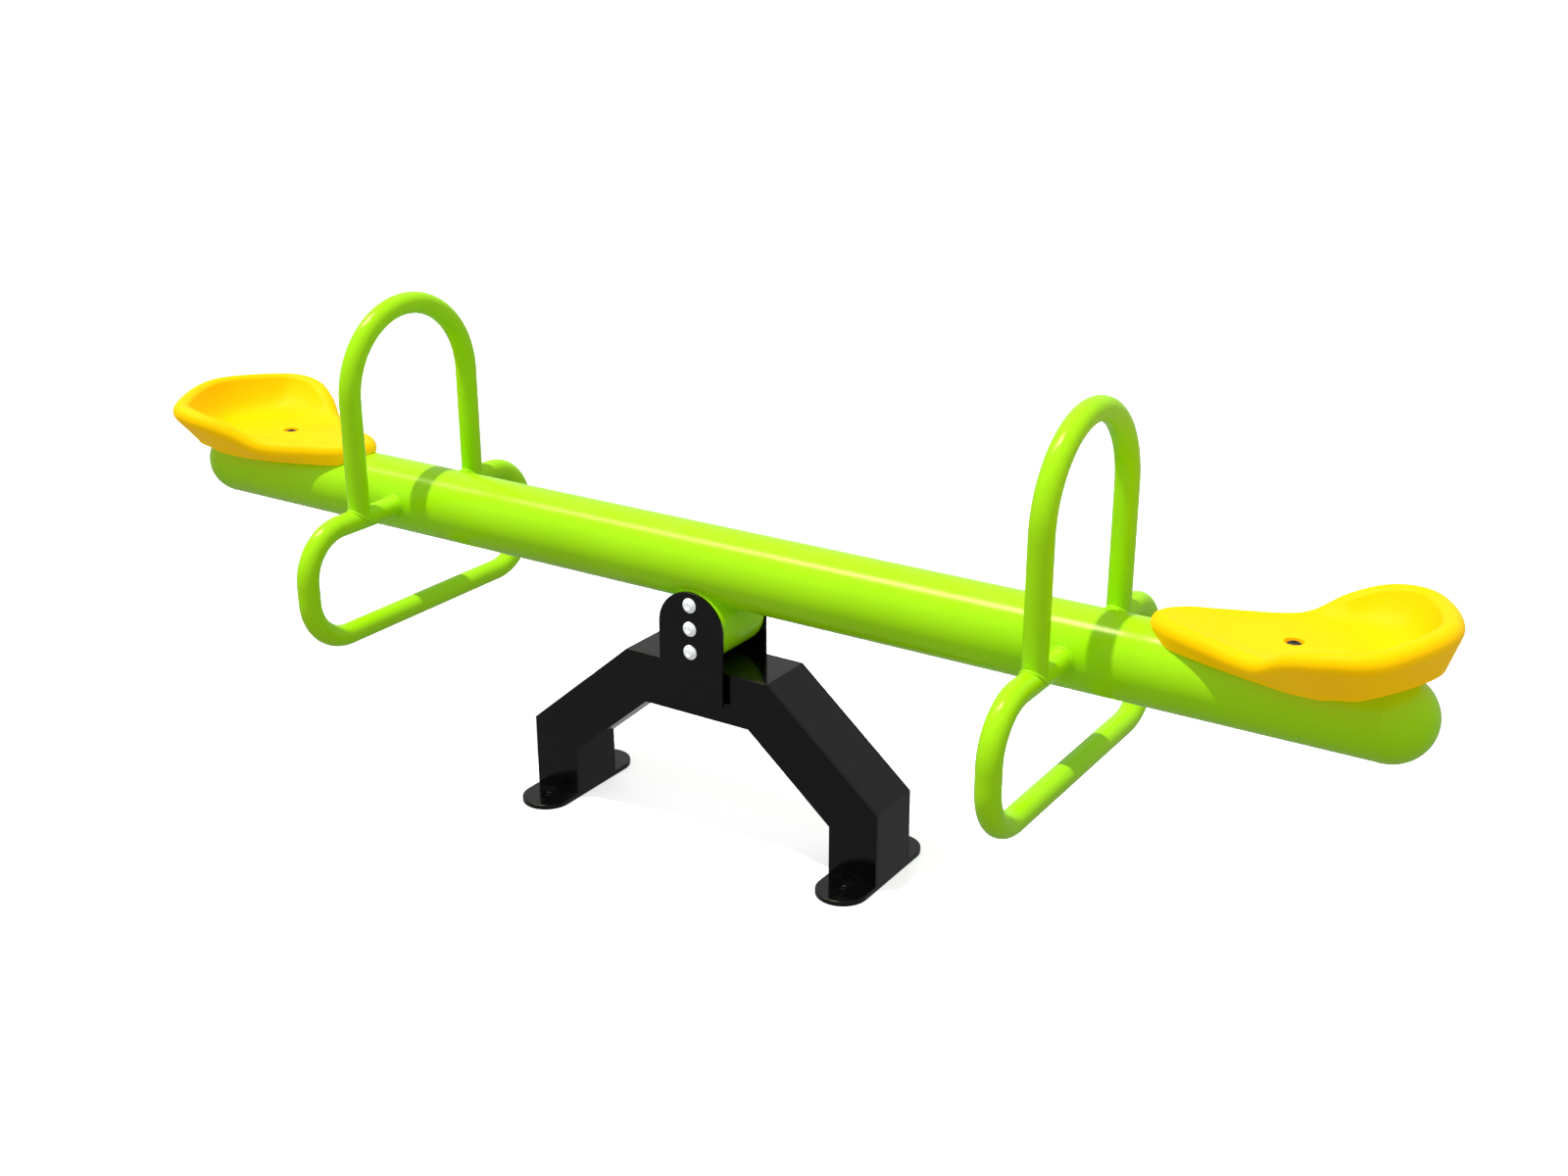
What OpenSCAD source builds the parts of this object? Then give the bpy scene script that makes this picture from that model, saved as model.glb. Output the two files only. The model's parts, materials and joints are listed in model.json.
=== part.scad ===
// Playground seesaw: a round beam on a rubber torsion pivot, carried by an arched steel stand.
// Frame: +X along the beam, +Y across it, +Z up, origin on the ground below the pivot.
// All sizes are in millimetres.

/* [Beam] */
// Height of the beam's centre line above the ground
beam_axis_h = 525; // [500:1:560]
// Outside diameter of the beam tube
beam_d = 140; // [136:1:142]
// Length of the straight beam tube, between its domed ends
beam_len = 2428; // [2360:2:2600]
// Wall of the beam tube and of its domed ends
beam_wall = 4; // [3:0.5:5]

/* [Handles] */
// Distance from the pivot to the handles and foot rests, along the beam
handle_x = 714; // [680:2:740]
// Outside diameter of the handle and foot rest tubes
rail_d = 42; // [38:0.5:43]
// Wall of the handle and foot rest tubes
rail_wall = 3; // [2:0.5:4]
// Width of a handle, between the centre lines of its posts
handle_w = 322; // [300:2:360]
// Height of the handle's arc centre above the beam's centre line
handle_rise = 229; // [200:1:260]

/* [Foot rests] */
// Width of a foot rest loop, between its centre lines
footrest_w = 612; // [560:2:640]
// Drop of the foot bar below the beam's centre line
footrest_drop = 219; // [210:1:240]
// Bend radius at the corners of the loop
footrest_bend = 92; // [70:1:100]

/* [Pivot] */
// Drop of the pivot axis below the beam's centre line
pivot_drop = 102; // [102:0.5:105]
// Outside diameter of the cross tube that is welded under the beam
pivot_tube_d = 136; // [128:1:138]
// Wall of the cross tube
pivot_tube_wall = 4; // [3:0.5:5]
// Tilt of the beam, each way from level, in degrees
tilt_limit = 18; // [10:1:18]
// Distance between the three bolts in each ear
ear_bolt_pitch = 45; // [44:0.5:45]
// Radius of the rounded top of an ear, about the pivot
ear_r = 69; // [66:1:72]
// Thickness of an ear
ear_t = 6; // [5:0.5:8]
// Thickness of the packer that holds an ear off the side plate
packer_t = 7; // [7:0.5:9]

/* [Stand] */
// Width of the stand's box section, over its side plates
stand_w = 120; // [120:1:124]
// Thickness of the side plates, covers and soffits
plate_t = 5; // [4:0.5:6]
// Distance from the pivot to the outside of a leg
leg_out = 384; // [370:1:400]
// Distance from the pivot to the inside of a leg
leg_in = 286; // [280:1:292]
// Height of the bend on the outside of a leg
knee_out_h = 151; // [140:1:160]
// Height of the bend on the inside of a leg
knee_in_h = 102; // [95:1:110]
// Half length of the flat top
top_half = 155; // [150:1:160]
// Height of the flat top
top_h = 346; // [340:1:347]
// Half length of the flat soffit
soffit_half = 114; // [108:1:120]
// Height of the flat soffit
soffit_h = 248; // [240:1:255]
// Height of the lower edge of an ear
ear_foot_h = 284; // [270:1:300]
// Thickness of a foot plate
foot_t = 10; // [8:1:12]
// Distance across the pair of anchor holes in a foot plate
anchor_pitch = 184; // [176:2:200]
// Diameter of an anchor hole
anchor_hole_d = 14; // [12:0.5:16]

/* [Seats] */
// Distance from the pivot to a seat's bolt
seat_x = 1060; // [1040:2:1080]
// Radius of the rolled rim
rim_r = 18; // [16:0.5:19]
// Wall of the moulded shell
shell_t = 9; // [7:0.5:10]
// Height of the seat's floor above the top of the beam, at the bolt
floor_h = 16; // [15:0.5:18]

/* [Hidden] */
$fn = 96;

GREEN = [0.55, 0.85, 0.05];
BLACK = [0.06, 0.06, 0.07];
YELLOW = [1.0, 0.85, 0.0];
STEEL = [0.62, 0.63, 0.65];
ZINC = [0.88, 0.89, 0.90];
DARK_STEEL = [0.16, 0.16, 0.17];
RUBBER = [0.09, 0.09, 0.09];
NYLON = [0.92, 0.90, 0.84];

LEFT = -1;
RIGHT = 1;
FRONT = -1;
REAR = 1;

beam_r = beam_d / 2;
beam_half = beam_len / 2;
rail_r = rail_d / 2;
pivot_h = beam_axis_h - pivot_drop;
tube_r = pivot_tube_d / 2;
tube_bore_r = tube_r - pivot_tube_wall;
stand_half = stand_w / 2;
side_gap = stand_half - plate_t;
ear_in = stand_half + packer_t;
ear_out = ear_in + ear_t;

// Inside of the pivot: a fixed core between the ears, and the moving tube around it
core_r = 16;
rubber_r = 25;
bearing_r = 30;
flange_r = 58;
flange_t = 10;
flange_y = ear_in - flange_t;
washer_y = flange_y - 3.6;
ring_t = 8;
ring_y = washer_y - 0.2 - ring_t;
tube_half = ear_in - 2;
running_gap = 0.05;
lug_in_r = 38;
lug_out_r = 55;
lug_half_angle = 9;
lug_clearance = 0.6;
notch_in_r = 35;
notch_half_angle = tilt_limit + lug_half_angle + lug_clearance;

// M16 button head bolts in the ears, and M12 ones with low heads, sunk below the seats' floors
ear_bolt_r = 8;
ear_hole_r = 8.5;
ear_head_r = 14;
ear_head_h = 8.8;
seat_bolt_r = 6;
seat_hole_r = 6.5;
seat_head_r = 10.5;
seat_head_h = 3.4;
seat_recess_r = 15;
seat_recess = 6;
seat_washer_r = 12;
seat_washer_t = 1.6;
nut_r = 10;
nut_h = 10;

bracket_l = 200;
bracket_w = 60;
bracket_h = floor_h - shell_t;

anchor_y = anchor_pitch / 2;
foot_x = (leg_out + leg_in) / 2;
foot_r = (leg_out - leg_in) / 2;

// ---- Placing ----

module at_front_or_rear(side) {
  mirror([0, side == FRONT ? 1 : 0, 0]) children();
}

module at_left_or_right(side) {
  mirror([side == LEFT ? 1 : 0, 0, 0]) children();
}

// A cylinder that lies across the beam, from y0 to y1, about the pivot axis
module across(r, y0, y1) {
  translate([0, y0, pivot_h]) rotate([-90, 0, 0]) cylinder(r = r, h = y1 - y0);
}

// A ring that lies across the beam about the pivot axis
module ring_across(r_out, r_in, y0, y1) {
  difference() {
    across(r_out, y0, y1);
    across(r_in, y0 - 1, y1 + 1);
  }
}

// The space that the beam fills, which other pieces are shaped to
module beam_space(r) {
  translate([-beam_half, 0, beam_axis_h]) rotate([0, 90, 0]) cylinder(r = r, h = beam_len);
}

// ---- Stand ----

OUTER_LINE = [
  [-leg_out, foot_t], [-leg_out, knee_out_h], [-top_half, top_h],
  [top_half, top_h], [leg_out, knee_out_h], [leg_out, foot_t]
];
INNER_LINE = [
  [-leg_in, foot_t], [-leg_in, knee_in_h], [-soffit_half, soffit_h],
  [soffit_half, soffit_h], [leg_in, knee_in_h], [leg_in, foot_t]
];

function reversed(points) = [for (i = [len(points) - 1:-1:0]) points[i]];
function unit(v) = v / norm(v);
function right_of(v) = [v[1], -v[0]];

// The point beside corner i of a line, at a distance t to its right, on the mitre
function mitre(line, i, t) =
  let (
    a = i == 0 ? unit(line[1] - line[0]) : unit(line[i] - line[i - 1]),
    b = i == len(line) - 1 ? a : unit(line[i + 1] - line[i]),
    n = right_of(a) + right_of(b)
  )
  line[i] + n * t / (1 + a * b);

// One straight plate of a folded strip, between corners i and i + 1 of a line
module strip(line, i, t) {
  translate([0, side_gap, 0]) rotate([90, 0, 0])
    linear_extrude(2 * side_gap)
      polygon([line[i], line[i + 1], mitre(line, i + 1, t), mitre(line, i, t)]);
}

module arch_plate(side) {
  color(BLACK) at_front_or_rear(side)
    translate([0, stand_half, 0]) rotate([90, 0, 0])
      linear_extrude(plate_t) polygon(concat(OUTER_LINE, reversed(INNER_LINE)));
}

module arch_plate_front() { arch_plate(FRONT); }
module arch_plate_rear() { arch_plate(REAR); }

module cover_top() {
  color(BLACK) strip(OUTER_LINE, 2, plate_t);
}

module cover(side) {
  color(BLACK) at_left_or_right(side) {
    strip(OUTER_LINE, 3, plate_t);
    strip(OUTER_LINE, 4, plate_t);
  }
}

module cover_left() { cover(LEFT); }
module cover_right() { cover(RIGHT); }

module soffit_top() {
  color(BLACK) strip(INNER_LINE, 2, -plate_t);
}

module soffit(side) {
  color(BLACK) at_left_or_right(side) {
    strip(INNER_LINE, 3, -plate_t);
    strip(INNER_LINE, 4, -plate_t);
  }
}

module soffit_left() { soffit(LEFT); }
module soffit_right() { soffit(RIGHT); }

// An upright plate inside the box section, in line with the edge of the ears
module stiffener(side) {
  stiffener_t = 6;
  color(BLACK) at_left_or_right(side)
    translate([ear_r - stiffener_t, -side_gap, soffit_h + plate_t])
      cube([stiffener_t, 2 * side_gap, top_h - soffit_h - 2 * plate_t]);
}

module stiffener_left() { stiffener(LEFT); }
module stiffener_right() { stiffener(RIGHT); }

module foot_plate(side) {
  color(BLACK) at_left_or_right(side) linear_extrude(foot_t)
    difference() {
      union() {
        translate([foot_x - foot_r, -anchor_y]) square([2 * foot_r, 2 * anchor_y]);
        for (y = [-anchor_y, anchor_y]) translate([foot_x, y]) circle(r = foot_r);
      }
      for (y = [-anchor_y, anchor_y]) translate([foot_x, y]) circle(d = anchor_hole_d);
    }
}

module foot_plate_left() { foot_plate(LEFT); }
module foot_plate_right() { foot_plate(RIGHT); }

// A packer lies between a side plate and an ear, and stays a little inside the ear's outline
module ear_packer(side) {
  inset = 8;
  color(BLACK) at_front_or_rear(side)
    translate([-ear_r + inset, stand_half, ear_foot_h + inset])
      cube([2 * (ear_r - inset), packer_t, top_h - ear_foot_h - inset]);
}

module ear_packer_front() { ear_packer(FRONT); }
module ear_packer_rear() { ear_packer(REAR); }

module ear(side) {
  color(BLACK) at_front_or_rear(side) difference() {
    union() {
      across(ear_r, ear_in, ear_out);
      translate([-ear_r, ear_in, ear_foot_h]) cube([2 * ear_r, ear_t, pivot_h - ear_foot_h]);
    }
    for (step = [-1:1])
      translate([0, 0, step * ear_bolt_pitch]) across(ear_hole_r, ear_in - 1, ear_out + 1);
  }
}

module ear_front() { ear(FRONT); }
module ear_rear() { ear(REAR); }

// ---- Fixed core of the pivot ----

module core_shaft() {
  color(STEEL) difference() {
    across(core_r, -flange_y, flange_y);
    for (side = [FRONT, REAR]) at_front_or_rear(side) across(ear_bolt_r + 0.4, flange_y - 4, flange_y + 1);
  }
}

module core_flange(side) {
  thread_gap = 0.05;
  color(STEEL) at_front_or_rear(side) difference() {
    across(flange_r, flange_y, ear_in);
    for (step = [-1:1])
      translate([0, 0, step * ear_bolt_pitch])
        across(ear_bolt_r + thread_gap, flange_y - 1, ear_in + 1);
  }
}

module core_flange_front() { core_flange(FRONT); }
module core_flange_rear() { core_flange(REAR); }

// A sector of a ring about the pivot axis, centred on straight down
module sector_below(r_out, r_in, half_angle, y0, y1) {
  translate([0, y1, pivot_h]) rotate([90, 0, 0]) rotate([0, 0, -90 - half_angle])
    rotate_extrude(angle = 2 * half_angle)
      translate([r_in, 0]) square([r_out - r_in, y1 - y0]);
}

module stop_lug(side) {
  color(STEEL) at_front_or_rear(side)
    sector_below(lug_out_r, lug_in_r, lug_half_angle, ring_y - 2, flange_y);
}

module stop_lug_front() { stop_lug(FRONT); }
module stop_lug_rear() { stop_lug(REAR); }

module thrust_washer(side) {
  washer_out_r = 36;
  color(NYLON) at_front_or_rear(side)
    ring_across(washer_out_r, core_r + running_gap, washer_y, flange_y);
}

module thrust_washer_front() { thrust_washer(FRONT); }
module thrust_washer_rear() { thrust_washer(REAR); }

// A button head screw along +Z, its head's underside at z = 0
module button_screw(shank_r, shank_l, head_r, head_h, socket) {
  dome_r = (head_r * head_r + head_h * head_h) / (2 * head_h);
  difference() {
    union() {
      translate([0, 0, -shank_l]) cylinder(r = shank_r, h = shank_l + 1);
      intersection() {
        translate([0, 0, head_h - dome_r]) sphere(r = dome_r);
        cylinder(r = head_r, h = head_h + 1);
      }
    }
    translate([0, 0, head_h * 0.45]) cylinder(d = socket, h = head_h, $fn = 6);
  }
}

module ear_bolts() {
  socket = 10 / cos(30);
  color(ZINC) for (side = [FRONT, REAR], step = [-1:1])
    at_front_or_rear(side) translate([0, ear_out, pivot_h + step * ear_bolt_pitch])
      rotate([-90, 0, 0]) button_screw(ear_bolt_r, ear_t + flange_t, ear_head_r, ear_head_h, socket);
}

// ---- Moving part of the pivot ----

module pivot_tube() {
  color(GREEN) difference() {
    ring_across(tube_r, tube_bore_r, -tube_half, tube_half);
    beam_space(beam_r);
  }
}

module bearing_tube() {
  color(STEEL) ring_across(bearing_r, rubber_r, -ring_y - ring_t, ring_y + ring_t);
}

// A ring joins the bearing tube to the cross tube, and its notch gives the stop lug its travel
module end_ring(side) {
  color(STEEL) at_front_or_rear(side) difference() {
    ring_across(tube_bore_r, bearing_r, ring_y, ring_y + ring_t);
    beam_space(beam_r);
    sector_below(tube_bore_r + 2, notch_in_r, notch_half_angle, ring_y - 1, ring_y + ring_t + 1);
  }
}

module end_ring_front() { end_ring(FRONT); }
module end_ring_rear() { end_ring(REAR); }

module rubber_bush(side) {
  bush_start = 2;
  color(RUBBER) at_front_or_rear(side)
    ring_across(rubber_r, core_r + running_gap, bush_start, ring_y + ring_t);
}

module rubber_bush_front() { rubber_bush(FRONT); }
module rubber_bush_rear() { rubber_bush(REAR); }

// ---- Beam ----

module beam_tube() {
  color(GREEN) difference() {
    beam_space(beam_r);
    translate([-beam_half - 1, 0, beam_axis_h]) rotate([0, 90, 0])
      cylinder(r = beam_r - beam_wall, h = beam_len + 2);
    for (x = [-seat_x, seat_x])
      translate([x, 0, beam_axis_h]) cylinder(r = seat_hole_r, h = beam_r + 1);
  }
}

module end_cap(side) {
  color(GREEN) at_left_or_right(side)
    translate([beam_half, 0, beam_axis_h]) rotate([0, 90, 0])
      rotate_extrude() intersection() {
        difference() {
          circle(r = beam_r);
          circle(r = beam_r - beam_wall);
        }
        square(beam_d);
      }
}

module end_cap_left() { end_cap(LEFT); }
module end_cap_right() { end_cap(RIGHT); }

// ---- Handles and foot rests ----

// Half an arch, two bends and straights are made as solid bars of radius r, and the bore is the same with less
module handle_bar(r) {
  half = handle_w / 2;
  for (side = [FRONT, REAR])
    translate([0, side * half, 0]) cylinder(r = r, h = handle_rise);
  translate([0, 0, handle_rise]) rotate([90, 0, 90])
    rotate_extrude(angle = 180) translate([half, 0]) circle(r = r);
}

module handle(side) {
  color(GREEN) at_left_or_right(side) translate([handle_x, 0, beam_axis_h]) difference() {
    handle_bar(rail_r);
    handle_bar(rail_r - rail_wall);
    rotate([90, 0, 0]) cylinder(r = rail_r, h = footrest_w, center = true);
  }
}

module handle_left() { handle(LEFT); }
module handle_right() { handle(RIGHT); }

// Half of the loop, from the beam's centre line out, down and back to the middle of the foot bar
module half_loop(r) {
  half = footrest_w / 2;
  run = half - footrest_bend;
  drop = footrest_drop - 2 * footrest_bend;
  rotate([-90, 0, 0]) cylinder(r = r, h = run);
  translate([0, run, -footrest_bend]) rotate([90, 0, 90])
    rotate_extrude(angle = 90) translate([footrest_bend, 0]) circle(r = r);
  translate([0, half, -footrest_bend - drop]) cylinder(r = r, h = drop);
  translate([0, run, -footrest_bend - drop]) rotate([90, 0, 90]) rotate([0, 0, -90])
    rotate_extrude(angle = 90) translate([footrest_bend, 0]) circle(r = r);
  translate([0, 0, -footrest_drop]) rotate([-90, 0, 0]) cylinder(r = r, h = run);
}

module loop_bar(r) {
  half_loop(r);
  mirror([0, 1, 0]) half_loop(r);
}

// The loop is one bent tube, and its two ends are shaped to the beam and welded to its sides
module footrest(side) {
  color(GREEN) at_left_or_right(side) difference() {
    translate([handle_x, 0, beam_axis_h]) difference() {
      loop_bar(rail_r);
      loop_bar(rail_r - rail_wall);
    }
    beam_space(beam_r);
  }
}

module footrest_left() { footrest(LEFT); }
module footrest_right() { footrest(RIGHT); }

// ---- Seats ----

// Centre of the rolled rim, from nose to tail: along from the bolt, half width, height above the beam
RIM_KEYS = [
  [-207, 0, 4], [-180, 34, 4], [-125, 58, 3], [-20, 102, 6],
  [40, 138, 39], [100, 159, 59], [166, 134, 66], [220, 0, 75]
];
// Lower edge of the skirt at the same places: inside the rim's outer edge, height above the beam
SKIRT_KEYS = [
  [8, -18], [4, -20], [10, -23], [30, -26],
  [44, -20], [56, -7], [40, 0], [16, 17]
];
RIM_STEPS = 4;
KEY_LAST = len(RIM_KEYS) - 1;
RIM_COUNT = 2 * KEY_LAST * RIM_STEPS;

// Key i of the closed outline, where the way back from tail to nose is the mirror of the way out
function folded(i) = let (k = (i + 2 * KEY_LAST) % (2 * KEY_LAST)) k <= KEY_LAST ? k : 2 * KEY_LAST - k;
function side_of(i) = (i + 2 * KEY_LAST) % (2 * KEY_LAST) <= KEY_LAST ? 1 : -1;
function key(i) =
  let (rim = RIM_KEYS[folded(i)], skirt = SKIRT_KEYS[folded(i)])
  [rim[0], side_of(i) * rim[1], rim[2], skirt[0], skirt[1]];

// A smooth curve through keys b and c, at u between them
function smooth(a, b, c, d, u) =
  b + (c - a) * u / 2 + (2 * a - 5 * b + 4 * c - d) * u * u / 2 + (3 * b - a - 3 * c + d) * u * u * u / 2;
function rim_at(j) =
  let (i = floor(j / RIM_STEPS), u = j / RIM_STEPS - i)
  smooth(key(i - 1), key(i), key(i + 1), key(i + 2), u);

function flat_part(p) = [p[0], p[1], 0];
function outward(j) =
  let (d = unit(flat_part(rim_at(j + 0.2)) - flat_part(rim_at(j - 0.2))))
  [-d[1], d[0], 0];

// The floor is level at the bolt and rises a little towards the nose
nose_rise = 6;
spine_start = -165;
spine_ratio = 0.7;
function spine_x(x) = spine_start + (x - RIM_KEYS[0][0]) * spine_ratio;
function floor_at(x) = floor_h + nose_rise * pow(min(0, x / RIM_KEYS[0][0] * -1), 2);

// How much of the way up to the rim the dish has risen, at a share s of the way out from the spine
dish_power = 4;
function dish(s) = pow(s, dish_power);

RIM_IN_ANGLE = 120;
function rim_point(j, r, angle) =
  rim_at_xyz(j) + r * (outward(j) * cos(angle) + [0, 0, sin(angle)]);
function rim_at_xyz(j) = let (g = rim_at(j)) [g[0], g[1], g[2]];
function dish_point(j, s, r, drop) =
  let (
    e = rim_point(j, r, RIM_IN_ANGLE),
    sx = spine_x(rim_at(j)[0]),
    x = sx + (e[0] - sx) * s,
    base = floor_at(x) - drop
  )
  [x, e[1] * s, base + (e[2] - base) * dish(s)];
function skirt_point(j, inside, up) =
  let (g = rim_at(j), o = outward(j))
  [g[0], g[1], g[4] + up] + o * (rim_r - g[3] - inside);

DISH_SHARES = [0.08, 0.3, 0.5, 0.65, 0.78, 0.9];
RIM_ANGLES = [120, 95, 70, 45, 20, 0, -20];
function seat_ring(k, j) =
  let (dishes = len(DISH_SHARES), angles = len(RIM_ANGLES), inner_r = rim_r - shell_t)
  k < dishes ? dish_point(j, DISH_SHARES[k], rim_r, 0)
  : k < dishes + angles ? rim_point(j, rim_r, RIM_ANGLES[k - dishes])
  : k == dishes + angles ? skirt_point(j, 0, 0)
  : k == dishes + angles + 1 ? skirt_point(j, shell_t * 0.8, 0)
  : k == dishes + angles + 2 ? rim_point(j, inner_r, 0)
  : k == dishes + angles + 3 ? rim_point(j, inner_r, 60)
  : dish_point(j, DISH_SHARES[2 * dishes + angles + 3 - k], inner_r, shell_t);
SEAT_RINGS = 2 * len(DISH_SHARES) + len(RIM_ANGLES) + 4;

module seat_shell() {
  rings = [for (k = [0:SEAT_RINGS - 1], j = [0:RIM_COUNT - 1]) seat_ring(k, j)];
  middle = spine_x(0);
  points = concat(rings, [[middle, 0, floor_at(middle)], [middle, 0, floor_at(middle) - shell_t]]);
  last = (SEAT_RINGS - 1) * RIM_COUNT;
  faces = concat(
    [for (k = [0:SEAT_RINGS - 2], j = [0:RIM_COUNT - 1])
      let (a = k * RIM_COUNT + j, b = k * RIM_COUNT + (j + 1) % RIM_COUNT)
      each [[a, a + RIM_COUNT, b + RIM_COUNT], [a, b + RIM_COUNT, b]]],
    [for (j = [0:RIM_COUNT - 1]) [len(rings), j, (j + 1) % RIM_COUNT]],
    [for (j = [0:RIM_COUNT - 1]) [len(rings) + 1, last + (j + 1) % RIM_COUNT, last + j]]
  );
  polyhedron(points, faces);
}

module seat(side) {
  beam_relief = 1;
  color(YELLOW) at_left_or_right(side) difference() {
    translate([seat_x, 0, beam_axis_h + beam_r]) seat_shell();
    beam_space(beam_r + beam_relief);
    translate([seat_x, 0, beam_axis_h + beam_r]) cylinder(r = seat_hole_r, h = floor_h + 5);
    translate([seat_x, 0, beam_axis_h + beam_r + floor_h - seat_recess])
      cylinder(r = seat_recess_r, h = seat_recess + 5);
  }
}

module seat_left() { seat(LEFT); }
module seat_right() { seat(RIGHT); }

// A steel pad, hollowed to sit on the round beam, carries the seat's floor
module seat_bracket(side) {
  color(GREEN) at_left_or_right(side) difference() {
    translate([seat_x - bracket_l / 2, -bracket_w / 2, beam_axis_h])
      cube([bracket_l, bracket_w, beam_r + bracket_h]);
    beam_space(beam_r);
    translate([seat_x, 0, beam_axis_h]) cylinder(r = seat_hole_r, h = beam_r + bracket_h + 1);
  }
}

module seat_bracket_left() { seat_bracket(LEFT); }
module seat_bracket_right() { seat_bracket(RIGHT); }

seat_recess_z = beam_axis_h + beam_r + floor_h - seat_recess;

module seat_washers() {
  color(DARK_STEEL) for (x = [-seat_x, seat_x]) translate([x, 0, seat_recess_z]) difference() {
    cylinder(r = seat_washer_r, h = seat_washer_t);
    translate([0, 0, -1]) cylinder(r = seat_hole_r, h = seat_washer_t + 2);
  }
}

module seat_bolts() {
  shank_l = 30;
  socket = 8 / cos(30);
  color(DARK_STEEL) for (x = [-seat_x, seat_x]) translate([x, 0, seat_recess_z + seat_washer_t])
    button_screw(seat_bolt_r, shank_l, seat_head_r, seat_head_h, socket);
}

// A nut inside the beam takes each seat's bolt
module seat_nuts() {
  nut_gap = 1;
  thread_gap = 0.1;
  color(ZINC) for (x = [-seat_x, seat_x])
    translate([x, 0, beam_axis_h + beam_r - beam_wall - nut_gap - nut_h]) difference() {
      cylinder(r = nut_r, h = nut_h, $fn = 6);
      translate([0, 0, -1]) cylinder(r = seat_bolt_r + thread_gap, h = nut_h + 2);
    }
}

arch_plate_front();
arch_plate_rear();
cover_top();
cover_left();
cover_right();
soffit_top();
soffit_left();
soffit_right();
stiffener_left();
stiffener_right();
foot_plate_left();
foot_plate_right();
ear_packer_front();
ear_packer_rear();
ear_front();
ear_rear();
core_shaft();
core_flange_front();
core_flange_rear();
stop_lug_front();
stop_lug_rear();
thrust_washer_front();
thrust_washer_rear();
ear_bolts();
beam_tube();
end_cap_left();
end_cap_right();
pivot_tube();
bearing_tube();
end_ring_front();
end_ring_rear();
rubber_bush_front();
rubber_bush_rear();
handle_left();
handle_right();
footrest_left();
footrest_right();
seat_bracket_left();
seat_bracket_right();
seat_left();
seat_right();
seat_bolts();
seat_washers();
seat_nuts();
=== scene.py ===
# The looks of a playground seesaw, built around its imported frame.
# Metres, +X along the beam, +Y across it, +Z up, with the pivot above the origin.
import json
import math

import bmesh
import bpy
import numpy as np
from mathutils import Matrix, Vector


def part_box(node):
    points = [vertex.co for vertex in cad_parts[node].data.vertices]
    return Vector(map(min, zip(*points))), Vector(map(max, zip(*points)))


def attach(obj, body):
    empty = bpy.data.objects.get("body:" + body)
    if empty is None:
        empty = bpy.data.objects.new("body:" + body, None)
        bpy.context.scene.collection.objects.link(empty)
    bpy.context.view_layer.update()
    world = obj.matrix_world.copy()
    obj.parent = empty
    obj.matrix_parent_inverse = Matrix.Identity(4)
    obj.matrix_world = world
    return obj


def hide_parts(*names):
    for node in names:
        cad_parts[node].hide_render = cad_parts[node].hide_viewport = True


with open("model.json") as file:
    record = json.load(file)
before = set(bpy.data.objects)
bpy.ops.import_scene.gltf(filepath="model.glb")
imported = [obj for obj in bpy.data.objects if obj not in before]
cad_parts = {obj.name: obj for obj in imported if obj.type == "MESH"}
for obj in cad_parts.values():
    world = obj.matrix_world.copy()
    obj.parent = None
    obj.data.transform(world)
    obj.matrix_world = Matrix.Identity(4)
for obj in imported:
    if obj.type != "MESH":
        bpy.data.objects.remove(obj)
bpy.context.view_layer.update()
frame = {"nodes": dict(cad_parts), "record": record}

MM = 0.001
TURN = 2 * math.pi
LEFT, RIGHT = -1, 1
FRONT, REAR = -1, 1
SIDE_NAMES = {LEFT: "left", RIGHT: "right"}


# ---- Sizes, read from the frame ----


class Box:
    """A CAD node's box: its corners, middle and size."""

    def __init__(self, node):
        self.low, self.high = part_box(node)
        self.middle = (self.low + self.high) / 2
        self.size = self.high - self.low


BEAM = Box("beam_tube")
HANDLE = Box("handle_right")
CROSS_TUBE = Box("pivot_tube")
CORE = Box("core_shaft")
EAR = Box("ear_rear")
PACKER = Box("ear_packer_rear")
EAR_BOLTS = Box("ear_bolts")
SEAT_WASHERS = Box("seat_washers")
SEAT_PAD = Box("seat_bracket_right")

beam_z = BEAM.middle.z
beam_r = BEAM.size.z / 2
beam_half = BEAM.high.x
rail_r = HANDLE.size.x / 2
handle_x = HANDLE.middle.x
post_y = HANDLE.high.y - rail_r
pivot_z = CORE.middle.z
cross_tube_r = CROSS_TUBE.size.x / 2
cross_tube_half = CROSS_TUBE.high.y
seat_x = SEAT_PAD.middle.x
seat_datum_z = beam_z + beam_r


# ---- Mesh helpers ----

merge_gap = 0.005 * MM
# The least angle between two faces that shows as a crease, in degrees
moulding_crease = 34
bolt_crease = 30
plate_crease = 20


def add_object(name, mesh):
    piece = bpy.data.objects.new(name, mesh)
    bpy.context.scene.collection.objects.link(piece)
    return piece


def mesh_from(name, points, faces):
    mesh = bpy.data.meshes.new(name)
    mesh.from_pydata([tuple(p) for p in points], [], [tuple(f) for f in faces])
    return mesh


def tidy_mesh(mesh):
    """Merges points that nearly touch, takes out slivers and makes the faces agree on a side."""
    work = bmesh.new()
    work.from_mesh(mesh)
    bmesh.ops.remove_doubles(work, verts=work.verts, dist=merge_gap)
    bmesh.ops.dissolve_degenerate(work, edges=work.edges, dist=merge_gap)
    bmesh.ops.recalc_face_normals(work, faces=work.faces)
    work.to_mesh(mesh)
    work.free()


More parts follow.
